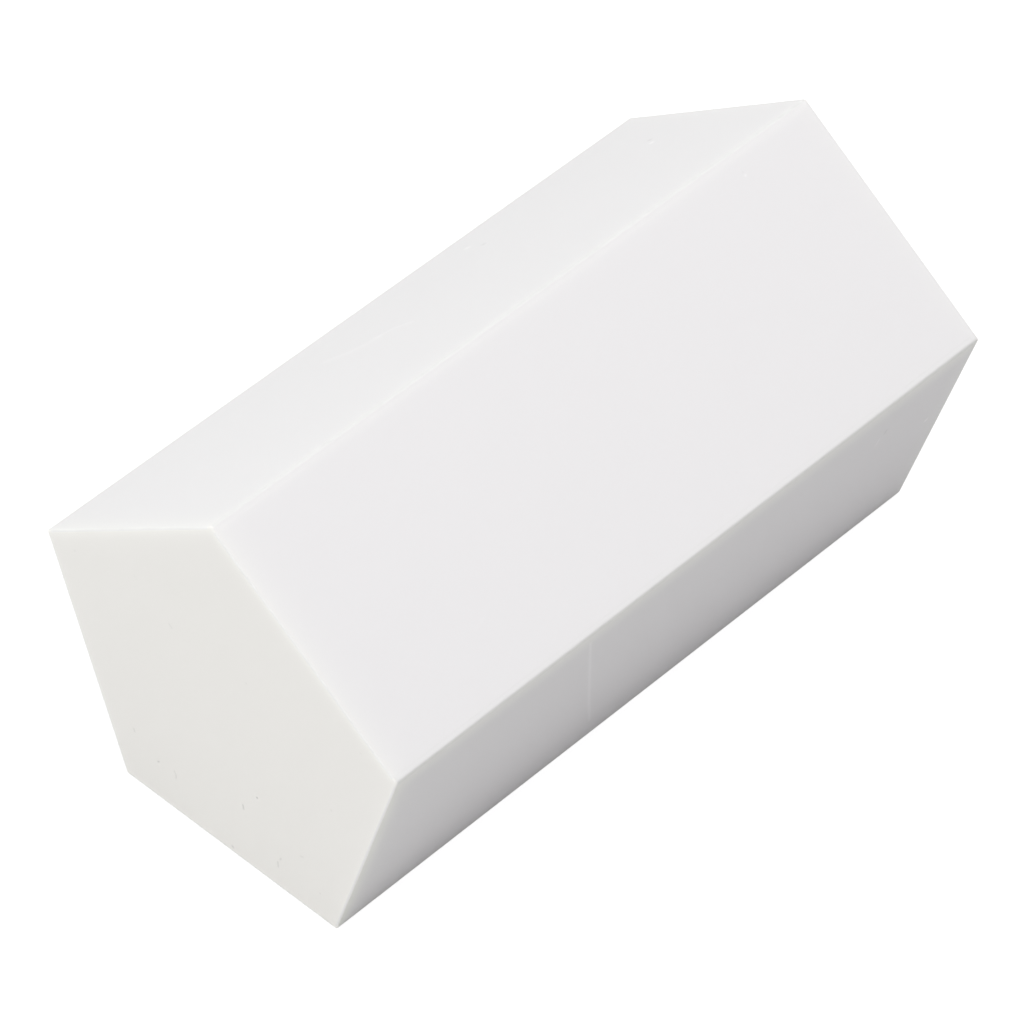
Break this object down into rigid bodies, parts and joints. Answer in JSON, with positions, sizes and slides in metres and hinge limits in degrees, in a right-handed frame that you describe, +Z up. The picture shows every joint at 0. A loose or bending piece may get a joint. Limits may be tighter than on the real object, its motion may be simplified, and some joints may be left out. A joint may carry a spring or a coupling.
{
  "type": "nail buffer block",
  "caption": "White pentagonal prism nail buffer: a closed-cell foam core with an abrasive strip bonded flush into each long face.",
  "frame": {"origin": "centre of the long face that the block rests on", "axes": "+X along the block from the near end to the far end, +Y towards the rear, +Z up"},
  "size_m": [0.0694, 0.0404, 0.0384],
  "materials": {
    "foam": "matte",
    "abrasive": "matte",
    "adhesive": "satin"
  },
  "bodies": {
    "root": {"base_abrasive_strip": "abrasive", "base_adhesive_film": "adhesive", "lower_front_abrasive_strip": "abrasive", "lower_front_adhesive_film": "adhesive", "upper_front_abrasive_strip": "abrasive", "upper_front_adhesive_film": "adhesive", "upper_rear_abrasive_strip": "abrasive", "upper_rear_adhesive_film": "adhesive", "lower_rear_abrasive_strip": "abrasive", "lower_rear_adhesive_film": "adhesive", "foam_core": "foam"}
  },
  "joints": []
}
